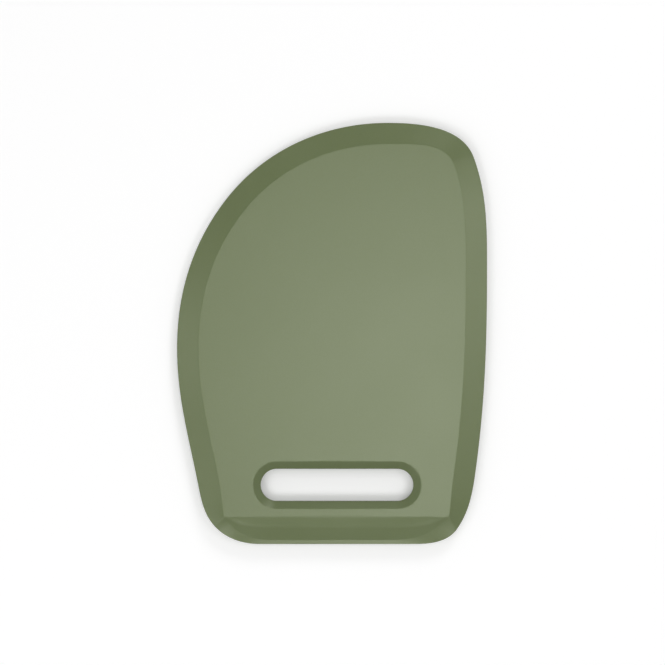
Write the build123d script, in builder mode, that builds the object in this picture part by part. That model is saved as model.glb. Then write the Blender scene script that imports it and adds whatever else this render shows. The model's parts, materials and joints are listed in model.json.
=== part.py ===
from build123d import *
from math import cos, radians, sin
import os

os.makedirs("parts", exist_ok=True)

# Bowl scraper: a soft silicone body moulded all round a stiff nylon plate.
# It lies flat on its back face. X runs across it, Y from the straight edge towards the
# crown, and Z up. The origin is on the back face, in the middle of the width and the length.

# Overall size
scraper_width = 110.4
scraper_length = 150.0
body_thickness = 6.0

# Blade: the thin rim all round, and the bevel that rises from it on both faces
rim_thickness = 1.2
bevel_width = 7.6

# Heel: the slope down to the straight edge, and the nearly flat lip that ends it
heel_length = 9.7
heel_crease_radius = 6.0
lip_width = 1.5
lip_thickness = 1.3

# Hanging slot, bevelled on both faces, with a flat shelf between it and the heel. Its centre
# lies to the right of the middle by a share of half the width.
slot_length = 54.3
slot_width = 11.4
slot_bevel_width = 2.65
slot_land = 1.6
slot_shelf_width = 3.05
slot_centre_share = 0.032

# Nylon plate inside, and the silicone that covers its edges
core_thickness = 2.0
core_edge_cover = 2.4
core_slot_cover = 3.0
core_bar_width = 3.8
core_corner_radius = 7.0

# Holes that the silicone flows through: a row along the edge, and a small field in the middle
key_hole_diameter = 5.0
key_hole_edge_distance = 5.5
key_hole_pitch = 14.0
key_field_pitch = 20.0
key_field_columns, key_field_rows = 2, 3

# Outline, clockwise from the lower left: shares of half the width and of half the length, and
# the heading in degrees from +X. The straight edge runs from bottom_right to bottom_left.
outline_shares = {
    "left_corner": (-0.759, -0.914, 132),
    "lower_left": (-0.87, -0.695, 101.6),
    "left": (-1, -0.07, 90),
    "shoulder": (-0.68, 0.64, 52),
    "crown": (0.36, 1, 0),
    "upper_right": (0.915, 0.835, -70),
    "right": (1, 0.3, -90),
    "lower_right": (0.923, -0.67, -98),
    "right_corner": (0.806, -0.929, -125),
    "bottom_right": (0.535, -1, 180),
    "bottom_left": (-0.464, -1, 180),
}
side_names = ["lower_left", "left", "shoulder", "crown", "upper_right", "right", "lower_right"]

# Lower corners of the flat face: share of half the width, and the heading of the side there
flat_corner_shares = {"flat_left": (-0.697, 98), "flat_right": (0.753, -98)}

# Ends of the lip's inner line, as shares of half the width
lip_left_share, lip_right_share = -0.385, 0.355

# Curve from a corner of the flat to the lip: shares of its run and of its drop
heel_curve_shares = [(0, 0), (0.28, 0.62), (0.4, 1), (1, 1)]

# Both handles of every curve of the outline, as a share of its chord
handle_share = 0.353

# Levels and lines worked out from the sizes
half_width = scraper_width / 2
half_length = scraper_length / 2
mid_level = body_thickness / 2
mid_plane = Plane.XY.offset(mid_level)
rim_level = mid_level + rim_thickness / 2
lip_level = mid_level + lip_thickness / 2
flat_bottom = heel_length - half_length
lip_line = lip_width - half_length
slot_bottom = flat_bottom + slot_shelf_width + slot_bevel_width
slot_centre = Vector(slot_centre_share * half_width, slot_bottom + slot_width / 2)
core_inset = bevel_width + core_edge_cover
core_bottom = slot_bottom - core_slot_cover - core_bar_width
core_window_top = slot_bottom + slot_width + core_slot_cover


def heading_vector(heading):
    """Unit vector along a heading."""
    return Vector(cos(radians(heading)), sin(radians(heading)))


def outline_node(name, inset=0):
    """Place and direction of a named point of the outline, moved inwards by the inset."""
    x_share, y_share, heading = outline_shares[name]
    along = heading_vector(heading)
    inwards = Vector(along.Y, -along.X)
    return Vector(x_share * half_width, y_share * half_length) + inwards * inset, along


def flat_corner(name, inset=0, level=flat_bottom):
    """Place and direction of a lower corner of the flat, moved sideways by the inset."""
    x_share, heading = flat_corner_shares[name]
    return Vector(x_share * half_width + inset, level), heading_vector(heading)


def bow(start, end, height=0):
    """Smooth curve between two nodes, with handles that are a share of its chord."""
    first, leaving = start
    last, arriving = end
    handle = (last - first).length * handle_share
    rise = Vector(0, 0, height)
    return Bezier(
        first + rise,
        first + leaving * handle + rise,
        last - arriving * handle + rise,
        last + rise,
    )


def bows(nodes, height=0):
    """Chain of smooth curves through the nodes."""
    return [bow(start, end, height) for start, end in zip(nodes, nodes[1:])]


def heel_points(corner, foot):
    """Points of the curve that runs in the heel's plane from a corner of the flat to the lip."""
    fall = foot - corner
    return [
        corner + Vector(run_share * fall.X, drop_share * fall.Y, drop_share * fall.Z)
        for run_share, drop_share in heel_curve_shares
    ]


# Rim: the outline at the top of the thin edge, closed by the straight edge
with BuildLine() as rim_outline:
    rim_nodes = [outline_node(name) for name in outline_shares]
    rim_curves = bows(rim_nodes[:-1], rim_level)
    straight_edge = Line(rim_curves[-1] @ 1, rim_nodes[-1][0] + Vector(0, 0, rim_level))
    rim_curves += [straight_edge, bow(rim_nodes[-1], rim_nodes[0], rim_level)]

# Inner edge of the bevel: round the flat, then in the heel's plane to both ends of the lip
with BuildLine() as bevel_outline:
    flat_nodes = [
        flat_corner("flat_left"),
        *[outline_node(name, bevel_width) for name in side_names],
        flat_corner("flat_right"),
    ]
    bevel_curves = bows(flat_nodes, body_thickness)
    flat_left, flat_right = bevel_curves[0] @ 0, bevel_curves[-1] @ 1
    lip_left = Vector(lip_left_share * half_width, lip_line, lip_level)
    lip_right = Vector(lip_right_share * half_width, lip_line, lip_level)
    bevel_curves += [
        Bezier(*heel_points(flat_right, lip_right)),
        Line(lip_right, lip_left),
        Bezier(*reversed(heel_points(flat_left, lip_left))),
    ]
with BuildLine() as heel_crease:
    Line(flat_right, flat_left)

# Upper skin: the bevel and the lip ruled from rim to inner edge, the flat and the heel
bevel_faces = [
    Face.make_surface_from_curves(edge1=outer, edge2=inner)
    for outer, inner in zip(rim_curves, bevel_curves)
]
side_count = len(side_names) + 1
flat_face = Face(Wire([*bevel_curves[:side_count], heel_crease.edge()]))
heel_face = Face(Wire([*bevel_curves[side_count:], heel_crease.edge()]))
upper_skin = [*bevel_faces, flat_face, heel_face]
lower_skin = [face.mirror(mid_plane) for face in upper_skin]
rim_wall = [Face.extrude(curve, (0, 0, -rim_thickness)) for curve in rim_curves]

# Places of the key holes along the edge of the plate, evenly spaced and clear of the window
with BuildLine() as key_hole_row:
    bows([outline_node(name, core_inset + key_hole_edge_distance) for name in side_names])
key_hole_path = Wire(key_hole_row.edges())
key_hole_step_count = round(key_hole_path.length / key_hole_pitch)
key_hole_shares = [step / key_hole_step_count for step in range(key_hole_step_count + 1)]
lowest_key_hole = core_window_top + key_hole_edge_distance
key_hole_places = [
    key_hole_path @ share
    for share in key_hole_shares
    if (key_hole_path @ share).Y > lowest_key_hole
]

# Nylon plate, with a window round the slot and the holes that key the silicone to it
with BuildPart() as nylon_core:
    with BuildSketch(Plane.XY.offset(mid_level - core_thickness / 2)):
        with BuildLine():
            core_nodes = [
                flat_corner("flat_left", core_edge_cover, core_bottom),
                *[outline_node(name, core_inset) for name in side_names],
                flat_corner("flat_right", -core_edge_cover, core_bottom),
            ]
            core_curves = bows(core_nodes)
            Line(core_curves[-1] @ 1, core_curves[0] @ 0)
        core_plan = make_face()
        fillet(core_plan.vertices().group_by(Axis.Y)[0], radius=core_corner_radius)
        with Locations(slot_centre):
            SlotOverall(
                slot_length + 2 * core_slot_cover,
                slot_width + 2 * core_slot_cover,
                mode=Mode.SUBTRACT,
            )
        with Locations(key_hole_places):
            Circle(key_hole_diameter / 2, mode=Mode.SUBTRACT)
        with Locations(Vector(slot_centre.X, 0)):
            with GridLocations(
                key_field_pitch, key_field_pitch, key_field_columns, key_field_rows
            ):
                Circle(key_hole_diameter / 2, mode=Mode.SUBTRACT)
    extrude(amount=core_thickness)

# Silicone body: the closed skin, the bevelled slot through it and the space for the plate
with BuildPart() as silicone_body:
    add(Solid(Shell([*upper_skin, *lower_skin, *rim_wall])))
    heel_creases = silicone_body.edges().filter_by(Axis.X).group_by(Axis.Y)[-1]
    fillet(heel_creases, radius=heel_crease_radius)
    with BuildSketch(Plane.XY.offset(body_thickness)):
        with Locations(slot_centre):
            SlotOverall(slot_length, slot_width)
    extrude(amount=-body_thickness, mode=Mode.SUBTRACT)
    flat_faces = silicone_body.faces().filter_by(GeomType.PLANE).sort_by(Axis.Z)
    for flat in (flat_faces[0], flat_faces[-1]):
        chamfer(
            flat.inner_wires()[0].edges(),
            length=slot_bevel_width,
            length2=(body_thickness - slot_land) / 2,
            reference=flat,
        )
    add(nylon_core.part, mode=Mode.SUBTRACT)

nylon_core.part.label = "nylon_core"
silicone_body.part.label = "silicone_body"

for piece in (silicone_body, nylon_core):
    export_step(piece.part, f"parts/{piece.part.label}.step")
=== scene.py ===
# %% [markdown]
# # A silicone bowl scraper
#
# This file dresses a bowl scraper: a palm-sized tool of soft green silicone that follows the curve
# of a mixing bowl. The real one is a single moulding round a hidden stiff plate. Its looks come
# from its creases: a flat middle, a bevel that thins out to a blade all round, a slope and a small
# lip at the straight edge, and a bevelled slot to hang it by.
#
# The construction model gives the sizes and the place of everything. It is loaded first, and
# nothing in it is moved. Blender adds the skin with its soft creases, the finish and the light.

# %% Load the construction model
import json

import bpy
import numpy as np
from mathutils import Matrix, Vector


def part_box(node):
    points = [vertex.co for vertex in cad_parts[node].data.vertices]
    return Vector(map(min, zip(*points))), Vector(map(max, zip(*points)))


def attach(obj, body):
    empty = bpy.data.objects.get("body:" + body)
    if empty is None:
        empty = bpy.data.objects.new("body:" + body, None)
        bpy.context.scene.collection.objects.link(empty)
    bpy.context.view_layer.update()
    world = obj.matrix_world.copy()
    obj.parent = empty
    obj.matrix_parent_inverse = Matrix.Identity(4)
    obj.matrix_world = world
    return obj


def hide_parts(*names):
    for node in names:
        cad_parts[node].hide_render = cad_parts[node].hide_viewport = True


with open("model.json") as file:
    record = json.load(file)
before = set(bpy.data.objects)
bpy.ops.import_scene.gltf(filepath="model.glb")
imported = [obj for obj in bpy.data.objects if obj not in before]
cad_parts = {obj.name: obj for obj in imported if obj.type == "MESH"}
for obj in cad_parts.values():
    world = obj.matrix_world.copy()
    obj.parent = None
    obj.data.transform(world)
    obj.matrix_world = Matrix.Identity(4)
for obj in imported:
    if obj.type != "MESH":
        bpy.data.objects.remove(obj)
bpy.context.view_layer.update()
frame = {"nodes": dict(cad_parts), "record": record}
mounts = {mount["name"]: mount for mount in frame["record"]["mounts"]}
print("nodes:", sorted(frame["nodes"]), "slot at", mounts["hanging_slot"]["pos_m"])

# %% [markdown]
# ## Sizes
#
# The overall size is read from the construction model, and the slot from the record's own mount,
# so the skin follows both if they change. The other sizes are those of the moulding: how wide the
# bevel is, how thin the rim, how long the heel. The lip is level, so it is as thick as the rim.
# All lengths are in metres, so a millimetre is written once and the rest are numbers of
# millimetres.

# %% Sizes of the moulding
MM = 0.001

lowest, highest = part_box("silicone_body")
half_width = (highest.x - lowest.x) / 2
half_length = (highest.y - lowest.y) / 2
thickness = highest.z - lowest.z
middle = (highest.z + lowest.z) / 2

rim_thickness = 1.2 * MM
bevel_width = 7.6 * MM

heel_length = 9.7 * MM
heel_crown = 0.58 * MM
heel_crown_share = 0.4
turn_dip = 0.35 * MM
lip_width = 1.5 * MM
lip_thickness = rim_thickness

slot_centre = np.array(mounts["hanging_slot"]["pos_m"][:2])
slot_radius = mounts["hanging_slot"]["dims"]["hole_r_mm"] * MM
slot_half_straight = mounts["hanging_slot"]["dims"]["slot_length_mm"] / 2 * MM - slot_radius
slot_bevel_width = 2.65 * MM
slot_land = 1.6 * MM

flat_bottom = heel_length - half_length
lip_line = lip_width - half_length
print(f"scraper {2 * half_width / MM:.1f} x {2 * half_length / MM:.1f} x {thickness / MM:.1f} mm")

# %% [markdown]
# ## The outline
#
# A mould maker would draw this outline as a few smooth arcs that flow into each other. It could
# be traced with hundreds of points, but then nothing in it could be changed by hand. Here it has
# eleven nodes: each is a place, written as a share of half the width and of half the length, and
# a heading in degrees from +X. A cubic curve, a bow, joins each node to the next.

# %% Nodes of the outline
outline_shares = {
    "left_corner": (-0.759, -0.914, 132),
    "lower_left": (-0.87, -0.695, 101.6),
    "left": (-1, -0.07, 90),
    "shoulder": (-0.68, 0.64, 52),
    "crown": (0.36, 1, 0),
    "upper_right": (0.915, 0.835, -70),
    "right": (1, 0.3, -90),
    "lower_right": (0.923, -0.67, -98),
    "right_corner": (0.806, -0.929, -125),
    "bottom_right": (0.535, -1, 180),
    "bottom_left": (-0.464, -1, 180),
}
side_names = ["lower_left", "left", "shoulder", "crown", "upper_right", "right", "lower_right"]
handle_share = 0.353


def outline_node(name, inset=0):
    """Place and heading of a named node, moved to the right of its heading by the inset."""
    x_share, y_share, heading = outline_shares[name]
    along = np.array([np.cos(np.radians(heading)), np.sin(np.radians(heading))])
    inwards = np.array([along[1], -along[0]])
    return np.array([x_share * half_width, y_share * half_length]) + inwards * inset, along


print(len(outline_shares), "nodes round the outline")

# %% [markdown]
# A bow is a cubic Bezier curve. Its two handles point along the headings of its nodes and are a
# fixed share of the distance between them, which keeps the whole family of curves fair. The
# number of steps along each bow is set once, from the distance between its nodes on the rim,
# because the rim, the inner edge of the bevel and the edge of the flat have to be cut into
# matching pieces.

# %% Bows, and the rim they draw
step_length = 0.48 * MM
fewest_steps = 24


def bezier(points, steps):
    """Cubic Bezier curve: at u from 0 to 1, its four points are weighed by the four terms of
    ((1 - u) + u) cubed. Its end point is left to the curve that follows."""
    u = np.arange(steps)[:, None] / steps
    rest = 1 - u
    start, first, second, end = (np.asarray(point, float) for point in points)
    return rest**3 * start + 3 * u * rest**2 * first + 3 * u**2 * rest * second + u**3 * end


def bow(start, end, steps):
    """Bezier curve between two nodes, whose handles are a share of its chord."""
    (here, leaving), (there, arriving) = start, end
    handle = handle_share * np.linalg.norm(there - here)
    return bezier([here, here + leaving * handle, there - arriving * handle, there], steps)


def bows(nodes, steps):
    """Chain of bows through the nodes, with the given number of steps on each."""
    return np.vstack([bow(*pair, count) for *pair, count in zip(nodes, nodes[1:], steps)])


def rim_nodes(inset=0):
    """All nodes of the outline, clockwise and back to the first."""
    names = [*outline_shares, next(iter(outline_shares))]
    return [outline_node(name, inset) for name in names]


places = np.array([place for place, heading in rim_nodes()])
chords = np.linalg.norm(np.diff(places, axis=0), axis=1)
step_counts = np.maximum(np.round(chords / step_length), fewest_steps).astype(int)
side_count = len(side_names) + 1
side_steps, heel_steps = step_counts[:side_count], step_counts[side_count:]
print("steps round the outline:", step_counts.sum())

# %% [markdown]
# ## The edge of the flat and the heel
#
# The bevel keeps its width round the sides, so its inner edge is the same outline with each node
# moved inwards. At the straight edge it turns: it leaves the corner of the flat, runs down across
# the heel in a curve and becomes the thin lip. The heel is a slope, so the height of every point
# on it follows from how far past the crease it lies.
#
# The edge of the flat is a second line. At the straight edge it is the crease where the heel
# starts, cut into the same steps as the line below it. Round the sides there is no heel, and it
# runs a millimetre inside the bevel.

# %% Inner edge of the bevel, and edge of the flat
flat_corner_shares = {"left": (-0.697, 98), "right": (0.753, -98)}
lip_left_share, lip_right_share = -0.385, 0.355
heel_curve_shares = np.array([(0, 0), (0.28, 0.62), (0.4, 1), (1, 1)])
strip_width = 1.0 * MM
bezier_points = 4


def flat_corner(side, inset=0):
    """Place and heading of a lower corner of the flat, moved sideways by the inset."""
    x_share, heading = flat_corner_shares[side]
    along = np.array([np.cos(np.radians(heading)), np.sin(np.radians(heading))])
    return np.array([x_share * half_width + inset, flat_bottom]), along


def flat_side(inset):
    """The sides and the top of the flat, from its left corner clockwise to its right one."""
    nodes = [
        flat_corner("left", inset),
        *[outline_node(name, bevel_width + inset) for name in side_names],
        flat_corner("right", -inset),
    ]
    return bows(nodes, side_steps)


left_corner, right_corner = flat_corner("left")[0], flat_corner("right")[0]
lip_left = np.array([lip_left_share * half_width, lip_line])
lip_right = np.array([lip_right_share * half_width, lip_line])
right_curve = right_corner + heel_curve_shares * (lip_right - right_corner)
left_curve = left_corner + heel_curve_shares * (lip_left - left_corner)
lip_run = np.linspace(lip_right, lip_left, bezier_points)

bevel_inner = np.vstack([
    flat_side(0),
    bezier(right_curve, heel_steps[0]),
    bezier(lip_run, heel_steps[1]),
    bezier(left_curve[::-1], heel_steps[2]),
])

heel_inner = bevel_inner[side_steps.sum():]
crease_middle = (left_corner + right_corner) / 2
crease_half = (right_corner - left_corner)[0] / 2
crease_share = 1 - strip_width / crease_half
crease_x = crease_middle[0] + (heel_inner[:, 0] - crease_middle[0]) * crease_share
heel_crease = np.column_stack([crease_x, np.full(len(crease_x), flat_bottom)])
flat_edge = np.vstack([flat_side(strip_width), heel_crease])

heel_drop = (thickness - lip_thickness) / 2
heel_slope = heel_drop / (flat_bottom - lip_line)


def skin_height(plan):
    """Height of the flat. Past the crease the heel falls by its slope times the way from it."""
    return middle + thickness / 2 - heel_slope * np.clip(flat_bottom - plan[:, 1], 0, None)


print(f"heel slopes {np.degrees(np.arctan(heel_slope)):.1f} degrees")

# %% [markdown]
# ## The slot
#
# The slot goes right through, so the skin is a ring: it has an outer edge and an inner one. Each
# point of the slot's edge is found by looking from the slot's centre towards the matching point
# of the flat's edge. The lines between the two then fan out and never cross, which gives the flat
# a clean mesh with no fan or pole in it.

# %% Edge of the slot
least_sine = 1e-9


def slot_ring(towards):
    """Points of the edge of the slot's bevel, and their outward normals. A ray from the centre
    meets a straight side where its height is the radius. Past the end of that side it meets the
    round end, at half the straight length times its cosine, plus the root of the radius squared
    less the square of half the straight length times its sine."""
    radius = slot_radius + slot_bevel_width
    ray = towards - slot_centre
    ray /= np.linalg.norm(ray, axis=1)[:, None]
    cosine, sine = np.abs(ray.T)
    root = np.sqrt(np.clip(radius**2 - (slot_half_straight * sine) ** 2, 0, None))
    to_end = slot_half_straight * cosine + root
    to_side = radius / np.maximum(sine, least_sine)
    on_side = to_side * cosine < slot_half_straight
    ring = ray * np.where(on_side, to_side, to_end)[:, None]
    spine = np.zeros_like(ring)
    spine[:, 0] = np.clip(ring[:, 0], -slot_half_straight, slot_half_straight)
    normal = (ring - spine) / radius
    return slot_centre + ring, normal


ring_edge, ring_normal = slot_ring(flat_edge)
slot_edge = ring_edge - ring_normal * slot_bevel_width
print(f"slot {np.ptp(slot_edge[:, 0]) / MM:.1f} x {np.ptp(slot_edge[:, 1]) / MM:.1f} mm")

# %% [markdown]
# ## One section, carried round
#
# Cut the scraper from the slot to the rim anywhere and the cut has the same corners: the slot's
# wall, its bevel, the flat, the heel, the bevel of the blade and the rim. So each corner is a
# closed line round the object, and the skin is a grid between those lines. On the sides the heel
# shrinks to that millimetre of the flat.
#
# Two things keep the heel from looking like a plain ramp. Two fifths of the way down it has one
# more corner, lifted a little, because the real slope is slightly full and gets steeper towards
# the lip. And where the bevel turns the lower corners, its inner edge dips a little under the
# slope. The turned bevel gets flatter, catches the light, and parts from the darker heel in a
# crisp curve. Both fade out at the corners of the flat, and the dip at the lip too. The dip goes
# with the share of the slope that is behind times the share that is still to come. Four times
# that product is 1 halfway down, where the dip is deepest.
#
# Halves of a mould meet in the middle of the rim and leave a hair-thin raised line there. The
# rim is drawn in by the height of that line, so the line itself is what reaches the full size.

# %% Corners of the section
flash_height = 0.04 * MM
flash_width = 0.16 * MM


def at(plan, height):
    """Points of the plan at a height, or at a list of heights."""
    return np.column_stack([plan, np.broadcast_to(height, len(plan))])


rim = bows(rim_nodes(flash_height), step_counts)
rim_crest = bows(rim_nodes(), step_counts)

heel_fold = flat_edge + (bevel_inner - flat_edge) * heel_crown_share
drop_share = (skin_height(flat_edge) - skin_height(bevel_inner)) / heel_drop
fold_lift = heel_crown * drop_share**2
halfway_down = 4 * drop_share * (1 - drop_share)
turned_dip = turn_dip * halfway_down

corners = {
    "slot_middle": at(slot_edge, middle),
    "slot_land": at(slot_edge, middle + slot_land / 2),
    "slot_bevel": at(ring_edge, middle + thickness / 2),
    "flat_edge": at(flat_edge, skin_height(flat_edge)),
    "heel_fold": at(heel_fold, skin_height(heel_fold) + fold_lift),
    "bevel_inner": at(bevel_inner, skin_height(bevel_inner) - turned_dip),
    "rim": at(rim, middle + rim_thickness / 2),
    "parting_foot": at(rim, middle + flash_width / 2),
    "parting_crest": at(rim_crest, middle),
}
print(len(corners), "corners from the slot to the rim")

# %% [markdown]
# ## Soft creases
#
# Silicone fills a mould's corners softly, and light catches on that small round. A Bevel modifier
# could add it, but it would leave knots where creases meet and where they run out. Here each
# corner of the section has its own set-back: the crease starts that far before the corner, ends
# that far after it, and the curve between is a parabola that touches both sides. A corner with
# no set-back stays sharp.

# %% Round the section's corners
set_back_and_steps = {
    "slot_middle": (0, 0),
    "slot_land": (0.3 * MM, 4),
    "slot_bevel": (0.3 * MM, 5),
    "flat_edge": (0.8 * MM, 4),
    "heel_fold": (0.9 * MM, 4),
    "bevel_inner": (0.18 * MM, 4),
    "rim": (0.15 * MM, 4),
    "parting_foot": (0, 0),
    "parting_crest": (0, 0),
}
most_of_a_span = 0.45


def crease(before, corner, after, set_back, steps):
    """Parabola that rounds a corner. It starts and ends a set-back away, at most a set share of
    the shorter side, and at u its points are weighed (1 - u) squared, 2 u (1 - u), u squared."""
    if steps == 0:
        return corner[None]
    back, onward = before - corner, after - corner
    back_length = np.linalg.norm(back, axis=1)[:, None]
    onward_length = np.linalg.norm(onward, axis=1)[:, None]
    reach = np.minimum(set_back, most_of_a_span * np.minimum(back_length, onward_length))
    start = corner + back / back_length * reach
    end = corner + onward / onward_length * reach
    u = np.linspace(0, 1, steps + 1)[:, None, None]
    return (1 - u) ** 2 * start + 2 * u * (1 - u) * corner + u**2 * end


names = list(corners)
creases = {}
for before, name, after in zip([names[0], *names], names, [*names[1:], names[-1]]):
    set_back, steps = set_back_and_steps[name]
    creases[name] = crease(corners[before], corners[name], corners[after], set_back, steps)
print("lines in the creases:", sum(len(lines) for lines in creases.values()))

# %% [markdown]
# Between two creases the skin is straight, so one face would do. But smooth shading blends the
# directions of neighbouring faces, and a crease would then spread a soft shadow over the whole
# width of a flat. A guard line close to each crease stops that. The flat itself also gets a few
# lines, spaced by a cosine, so that its faces don't get too long.

# %% Fill the spans between the creases
guarded_from = ["slot_land", "slot_bevel", "heel_fold", "bevel_inner"]
guard = 0.12 * MM
flat_steps = 7


def span(start, end, steps, guarded):
    """Lines between two creases, closer together near both: half of 1 less the cosine. A guarded
    span has one more line close to each crease, at most a third of the way to the first one."""
    shares = (1 - np.cos(np.pi * np.arange(steps + 1) / steps)) / 2
    shares = np.tile(shares[:, None], (1, len(start)))
    lines = shares[1:-1]
    if guarded:
        length = np.linalg.norm(end - start, axis=1)
        guard_share = np.minimum(guard / length, shares[1] / 3)
        lines = np.vstack([guard_share, lines, 1 - guard_share])
    return start + (end - start) * lines[:, :, None]


rows = [creases[names[0]]]
for name, following in zip(names, names[1:]):
    steps = flat_steps if name == "slot_bevel" else 1
    start, end = creases[name][-1], creases[following][0]
    rows += [span(start, end, steps, name in guarded_from), creases[following]]
front = np.vstack(rows)
print("the front has", front.shape[0], "lines of", front.shape[1], "points")

# %% [markdown]
# ## Close the skin
#
# The back is taken to be like the front, so it is the same grid mirrored about the middle. The
# first and last lines lie in that middle and are shared. The grid then closes on itself both
# ways, like the skin of a tyre, with no seam and no open edge.

# %% Make the silicone skin
def closed_skin(name, grid):
    """Mesh of a grid that closes both ways: each face joins points (i, j), (i, j + 1),
    (i + 1, j + 1) and (i + 1, j), and the last line and point are followed by the first."""
    lines, points = grid.shape[:2]
    index = np.arange(lines * points).reshape(lines, points)
    across = np.roll(index, -1, axis=0)
    corner_grids = [index, np.roll(index, -1, axis=1), np.roll(across, -1, axis=1), across]
    faces = np.stack(corner_grids, axis=-1)
    mesh = bpy.data.meshes.new(name)
    mesh.from_pydata(grid.reshape(-1, 3).tolist(), [], faces.reshape(-1, 4).tolist())
    mesh.shade_smooth()
    made = bpy.data.objects.new(name, mesh)
    bpy.context.scene.collection.objects.link(made)
    return made


back = front[-2:0:-1] * [1, 1, -1] + [0, 0, 2 * middle]
silicone_skin = closed_skin("silicone_skin", np.vstack([front, back]))
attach(silicone_skin, "root")
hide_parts("silicone_body")
print("skin:", 2 * len(silicone_skin.data.polygons), "triangles")

# %% [markdown]
# ## Shared effects
#
# Silicone and nylon both come out of a mould, so both materials need the same two things: a fine
# grain that the mould's blasted steel leaves, and a slow drift of tone where the material flowed
# unevenly. Each is a node group with named inputs, built once. A group puts out only numbers and
# a normal. The shader itself stays in each material.

# %% Helpers for nodes
def add_node(tree, kind, inputs=(), **settings):
    """A new node with its settings. An input's value is a number, a colour or another socket."""
    made = tree.nodes.new(kind)
    for name, value in settings.items():
        setattr(made, name, value)
    for name, value in dict(inputs).items():
        if isinstance(value, bpy.types.NodeSocket):
            tree.links.new(value, made.inputs[name])
        else:
            made.inputs[name].default_value = value
    return made


def new_group(name, inputs, outputs):
    """An empty node group with named sockets. Gives its tree and its two ends."""
    tree = bpy.data.node_groups.new(name, "ShaderNodeTree")
    for label, (kind, value) in inputs.items():
        socket = tree.interface.new_socket(label, in_out="INPUT", socket_type=f"NodeSocket{kind}")
        socket.default_value = value
    for label, kind in outputs.items():
        tree.interface.new_socket(label, in_out="OUTPUT", socket_type=f"NodeSocket{kind}")
    return tree, add_node(tree, "NodeGroupInput"), add_node(tree, "NodeGroupOutput")


def scaled(tree, value, low, high, start=0.0, end=1.0):
    """Map Range node: carries low..high to start..end, and stops at both."""
    limits = {"Value": value, "From Min": low, "From Max": high, "To Min": start, "To Max": end}
    return add_node(tree, "ShaderNodeMapRange", limits).outputs["Result"]


def number(tree, operation, *values):
    """Math node: one operation on numbers or sockets."""
    return add_node(tree, "ShaderNodeMath", dict(enumerate(values)), operation=operation).outputs[0]


def vector(tree, operation, *values):
    """Vector Math node: one operation on vectors or sockets. A length comes out as a number."""
    made = add_node(tree, "ShaderNodeVectorMath", dict(enumerate(values)), operation=operation)
    return made.outputs["Value" if operation == "LENGTH" else "Vector"]


noise_low, noise_high = 0.3, 0.7
print(f"nearly all noise lies between {noise_low} and {noise_high}")

# %% [markdown]
# The grain is a fine noise, with two finer sizes added by its detail, and it is used as a height.
# The bump's distance is a real depth, about a hundredth of a millimetre, and it lies on Object
# coordinates, so it has its true size when the camera comes close and melts into an even satin
# when the camera is far.

# %% Node group: moulded grain
def build_moulded_grain():
    """Fine grain of a blasted mould: a normal, and a mask that is 1 on the grain's tops."""
    tree, start, end = new_group(
        "moulded_grain",
        {
            "Grain Size": ("Float", 0.3 * MM),
            "Depth": ("Float", 0.01 * MM),
            "Strength": ("Float", 1.0),
        },
        {"Normal": "Vector", "Tops": "Float"},
    )
    place = add_node(tree, "ShaderNodeTexCoord").outputs["Object"]
    per_metre = number(tree, "DIVIDE", 1.0, start.outputs["Grain Size"])
    fine = add_node(
        tree,
        "ShaderNodeTexNoise",
        {"Vector": place, "Scale": per_metre, "Detail": 2.0, "Roughness": 0.55},
    ).outputs[0]
    tops = scaled(tree, fine, noise_low, noise_high)
    bump = add_node(
        tree,
        "ShaderNodeBump",
        {"Height": tops, "Distance": start.outputs["Depth"], "Strength": start.outputs["Strength"]},
    )
    tree.links.new(bump.outputs["Normal"], end.inputs["Normal"])
    tree.links.new(tops, end.inputs["Tops"])
    return tree


moulded_grain = build_moulded_grain()
print("group:", moulded_grain.name)

# %% [markdown]
# The drift is broad noise, tens of millimetres across. It moves the tone and the gloss a little,
# which the eye reads as a real moulding and not as paint.

# %% Node group: slow drift
def build_slow_drift():
    """Broad uneven tone of a moulding: a mask from 0 to 1 that changes over centimetres."""
    tree, start, end = new_group(
        "slow_drift", {"Patch Size": ("Float", 30 * MM)}, {"Drift": "Float"}
    )
    place = add_node(tree, "ShaderNodeTexCoord").outputs["Object"]
    per_metre = number(tree, "DIVIDE", 1.0, start.outputs["Patch Size"])
    patches = add_node(
        tree,
        "ShaderNodeTexNoise",
        {"Vector": place, "Scale": per_metre, "Detail": 3.0, "Roughness": 0.5, "Distortion": 0.6},
    ).outputs[0]
    tree.links.new(scaled(tree, patches, noise_low, noise_high), end.inputs["Drift"])
    return tree


slow_drift = build_slow_drift()
print("group:", slow_drift.name)

# %% [markdown]
# ## Satin silicone
#
# The real silicone is a dusty sage green, satin and not glossy: it shows a broad soft sheen
# where it faces the light and goes deeper where it turns away. Two close greens are mixed by the
# drift, the tops of the grain are a touch paler, and the roughness wanders a little.
#
# Two more settings make it soft rather than painted. A fifth of the light goes under the skin and
# comes out again less than a millimetre away, blue only half as far as red and green, which takes
# the hardness out of the creases. And the sheen isn't quite white but faintly yellow-green, as it
# is in the photograph.

# %% Silicone material
def group_node(tree, group, **inputs):
    """A node that places a group, with its inputs set by name."""
    made = add_node(tree, "ShaderNodeGroup", node_tree=group)
    for name, value in inputs.items():
        made.inputs[name.replace("_", " ")].default_value = value
    return made


def mixed(tree, share, first, second):
    """Mix of two colours, or of a socket and a colour, by a share that is a socket. The Mix node
    has sockets for each kind of data: 6 and 7 take the colours, and output 2 gives one."""
    made = add_node(tree, "ShaderNodeMix", data_type="RGBA")
    for slot_number, value in ((0, share), (6, first), (7, second)):
        if isinstance(value, bpy.types.NodeSocket):
            tree.links.new(value, made.inputs[slot_number])
        else:
            made.inputs[slot_number].default_value = value
    return made.outputs[2]


def new_material(name):
    """An empty node material. Gives it, its tree and its Principled shader."""
    material = bpy.data.materials.new(name)
    material.use_nodes = True
    tree = material.node_tree
    return material, tree, tree.nodes["Principled BSDF"]


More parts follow.
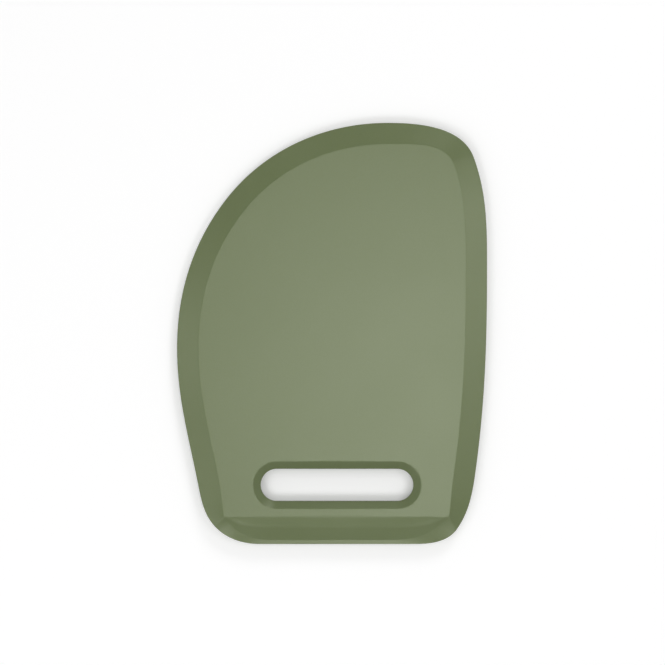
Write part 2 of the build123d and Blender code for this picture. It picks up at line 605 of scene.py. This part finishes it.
deep_green = (0.116, 0.149, 0.058, 1)
pale_green = (0.125, 0.159, 0.066, 1)
dusty_green = (0.147, 0.181, 0.090, 1)
dust_on_tops = 0.25
satin_roughness = (0.28, 0.3)
silicone_ior = 1.5
sheen_tint = (0.95, 1, 0.84, 1)
under_skin_share = 0.2
under_skin_depth = 0.7 * MM
under_skin_reach = (1.0, 1.0, 0.5)

silicone, tree, shader = new_material("satin_silicone")
drift = group_node(tree, slow_drift, Patch_Size=32 * MM).outputs["Drift"]
grain = group_node(tree, moulded_grain, Grain_Size=0.28 * MM, Depth=0.007 * MM, Strength=1.0)
tone = mixed(tree, drift, deep_green, pale_green)
dust = scaled(tree, grain.outputs["Tops"], 0, 1, 0, dust_on_tops)
tree.links.new(mixed(tree, dust, tone, dusty_green), shader.inputs["Base Color"])
tree.links.new(scaled(tree, drift, 0, 1, *satin_roughness), shader.inputs["Roughness"])
tree.links.new(grain.outputs["Normal"], shader.inputs["Normal"])
shader.inputs["IOR"].default_value = silicone_ior
shader.inputs["Specular Tint"].default_value = sheen_tint
shader.inputs["Subsurface Weight"].default_value = under_skin_share
shader.inputs["Subsurface Radius"].default_value = under_skin_reach
shader.inputs["Subsurface Scale"].default_value = under_skin_depth
silicone_skin.data.materials.append(silicone)
print("material:", silicone.name)

# %% [markdown]
# ## The plate inside
#
# The stiff plate never shows, but it is part of the object and whoever takes it apart will see
# it. Natural nylon filled with glass is a warm off-white, with short pale streaks that lie along
# the flow. The streaks are noise stretched along the length of the plate.

# %% Nylon material
nylon_base = (0.50, 0.48, 0.41, 1)
nylon_pale = (0.62, 0.60, 0.53, 1)
nylon_roughness = (0.48, 0.58)
streak_width = 0.6 * MM
streak_squeeze = (1, 0.12, 1)
streak_range = (0.45, 0.7)

nylon, tree, shader = new_material("filled_nylon")
place = add_node(tree, "ShaderNodeTexCoord").outputs["Object"]
flow = add_node(tree, "ShaderNodeMapping", {"Vector": place, "Scale": streak_squeeze})
streaks = add_node(
    tree,
    "ShaderNodeTexNoise",
    {"Vector": flow.outputs["Vector"], "Scale": 1 / streak_width, "Detail": 4.0},
).outputs[0]
drift = group_node(tree, slow_drift, Patch_Size=18 * MM).outputs["Drift"]
grain = group_node(tree, moulded_grain, Grain_Size=0.5 * MM, Depth=0.015 * MM, Strength=0.7)
paleness = scaled(tree, streaks, *streak_range)
tree.links.new(mixed(tree, paleness, nylon_base, nylon_pale), shader.inputs["Base Color"])
tree.links.new(scaled(tree, drift, 0, 1, *nylon_roughness), shader.inputs["Roughness"])
tree.links.new(grain.outputs["Normal"], shader.inputs["Normal"])
core = frame["nodes"]["nylon_core"]
core.data.materials.clear()
core.data.materials.append(nylon)
print("material:", nylon.name)

# %% [markdown]
# ## Floor and background
#
# The scraper lies on a white sweep that runs out to pure white. A stronger lamp would do that but
# would bleach the green too. So the floor is a white paper under plain light, and what is missing
# to pure white is added by a weak glow that only the camera and reflections see. It grows with
# the distance, because the lamps light the far floor less. The shadow of the scraper falls on the
# paper and stays.
#
# The glow stands for light from the whole room, and a narrow slot keeps most of that out. So inside
# the slot the glow is taken down, which paints a shadow on the floor there: darker the nearer to
# the slot's edge, and fading out again under the scraper. A point's distance from the slot's middle
# line is the length of its offset from the centre, after the straight half is taken off the part
# that runs along the slot.

# %% White floor
def seen_directly(tree):
    """1 for what the camera, a reflection or glass sees, and 0 for light that falls on things."""
    rays = add_node(tree, "ShaderNodeLightPath").outputs
    either = number(tree, "MAXIMUM", rays["Is Camera Ray"], rays["Is Glossy Ray"])
    return number(tree, "MAXIMUM", either, rays["Is Transmission Ray"])


floor_size = 6.0
paper_white = (0.8, 0.8, 0.8, 1)
pure_white = (1, 1, 1, 1)
floor_glow = 0.3
far_glow = 0.62
near_radius, far_radius = 0.2, 2.4
slot_middle_painted_shadow, slot_edge_painted_shadow = 0.04, 0.17
painted_shadow_start = 0.3 * slot_radius
fade_start, fade_end = 2 * slot_radius, 3 * slot_radius

bpy.ops.mesh.primitive_plane_add(size=floor_size, location=(0, 0, 0))
floor = bpy.context.active_object
floor.name = "floor"

paper, tree, shader = new_material("white_paper")
shader.inputs["Base Color"].default_value = paper_white
shader.inputs["Roughness"].default_value = 1.0
shader.inputs["Specular IOR Level"].default_value = 0.0
shader.inputs["Emission Color"].default_value = pure_white
place = add_node(tree, "ShaderNodeTexCoord").outputs["Object"]
level = scaled(tree, vector(tree, "LENGTH", place), near_radius, far_radius, floor_glow, far_glow)

from_centre = vector(tree, "ABSOLUTE", vector(tree, "SUBTRACT", place, (*slot_centre, 0)))
past_straight = vector(tree, "SUBTRACT", from_centre, (slot_half_straight, 0, 0))
from_spine = vector(tree, "LENGTH", vector(tree, "MAXIMUM", past_straight, (0, 0, 0)))
# Painted shadow: the floor's glow is lowered inside the slot, most at its edges.
painted_slot_shadow = scaled(tree, from_spine, painted_shadow_start, slot_radius, slot_middle_painted_shadow, slot_edge_painted_shadow)
in_slot = scaled(tree, from_spine, fade_start, fade_end, 1, 0)
level = number(tree, "SUBTRACT", level, number(tree, "MULTIPLY", painted_slot_shadow, in_slot))

glow = number(tree, "MULTIPLY", seen_directly(tree), level)
tree.links.new(glow, shader.inputs["Emission Strength"])
floor.data.materials.append(paper)
print("floor:", floor_size, "m")

# %% [markdown]
# The world is the room round the table. It gives an even fill from all sides, and whoever looks
# past the floor sees white.

# %% World
fill_level = 0.32

world = bpy.data.worlds.new("studio")
bpy.context.scene.world = world
world.use_nodes = True
tree = world.node_tree
backdrop = tree.nodes["Background"]
backdrop.inputs["Color"].default_value = pure_white
strength = scaled(tree, seen_directly(tree), 0, 1, fill_level, 1.0)
tree.links.new(strength, backdrop.inputs["Strength"])
print("fill light:", fill_level)

# %% [markdown]
# ## Lamps
#
# The photograph was lit by large soft lights, and its facets tell where they were. Seen from
# straight above, a facet mirrors whatever lies on the side that it faces, twice its own slope
# away from the zenith. The flat is bright and a little veiled, so a box hangs near the camera.
# The bevels slope by about 17 degrees: the right one is lighter than the left, so the right box
# is the brighter one. The turned corners catch light from two boxes on the near side. A long box
# at the near left lifts the lower left side, and one at the far side, low down, reaches into the
# steep bevel of the slot.

# %% Soft boxes
soft_boxes = {
    "overhead_box": {"place": (0.095, -0.05, 1.6), "size": (0.22, 0.22), "radiance": 19.3},
    "right_box": {"place": (0.76, 0.12, 1.05), "size": (0.35, 0.35), "radiance": 4.0},
    "left_box": {"place": (-0.76, 0.0, 1.05), "size": (0.35, 0.35), "radiance": 2.5},
    "left_corner_box": {"place": (-0.40, -0.69, 1.02), "size": (0.3, 0.4), "radiance": 5.0},
    "right_corner_box": {"place": (0.40, -0.70, 1.02), "size": (0.4, 0.5), "radiance": 2.6},
    "near_left_box": {"place": (-0.80, -0.62, 0.80), "size": (0.4, 0.9), "radiance": 1.5},
    "far_box": {"place": (0.42, 1.08, 0.62), "size": (0.5, 0.35), "radiance": 7.0},
}


def soft_box(name, place, size, radiance):
    """Area lamp that faces the origin. Its power is its brightness times its area times pi."""
    lamp = bpy.data.lights.new(name, "AREA")
    lamp.shape = "RECTANGLE"
    lamp.size, lamp.size_y = size
    lamp.energy = radiance * size[0] * size[1] * np.pi
    box = bpy.data.objects.new(name, lamp)
    box.location = place
    box.rotation_mode = "QUATERNION"
    box.rotation_quaternion = box.location.to_track_quat("Z", "Y")
    bpy.context.scene.collection.objects.link(box)


for name, setting in soft_boxes.items():
    soft_box(name, **setting)
print(len(soft_boxes), "soft boxes")

# %% [markdown]
# ## Camera
#
# The photograph looks straight down from far away, so nothing leans. The lens is long, and the
# camera's height follows from the width that the picture has to show. The scraper isn't quite in
# the middle of the photograph, and neither is it here.

# %% Camera
lens_length = 200 * MM
sensor_width = 36 * MM
picture_width = 236.8 * MM
aim_x, aim_y = 0.16 * MM, 0.34 * MM

camera = bpy.data.objects.new("camera", bpy.data.cameras.new("camera"))
camera.data.lens = lens_length / MM
camera.data.sensor_width = sensor_width / MM
camera.location = (aim_x, aim_y, middle + picture_width * lens_length / sensor_width)
bpy.context.scene.collection.objects.link(camera)
bpy.context.scene.camera = camera
bpy.context.scene.view_settings.view_transform = "Standard"
print(f"camera {camera.location.z:.3f} m above the floor")

# %% [markdown]
# ## End

# The skin may not be larger than the part that it stands for.

# %% Finish
print("done")
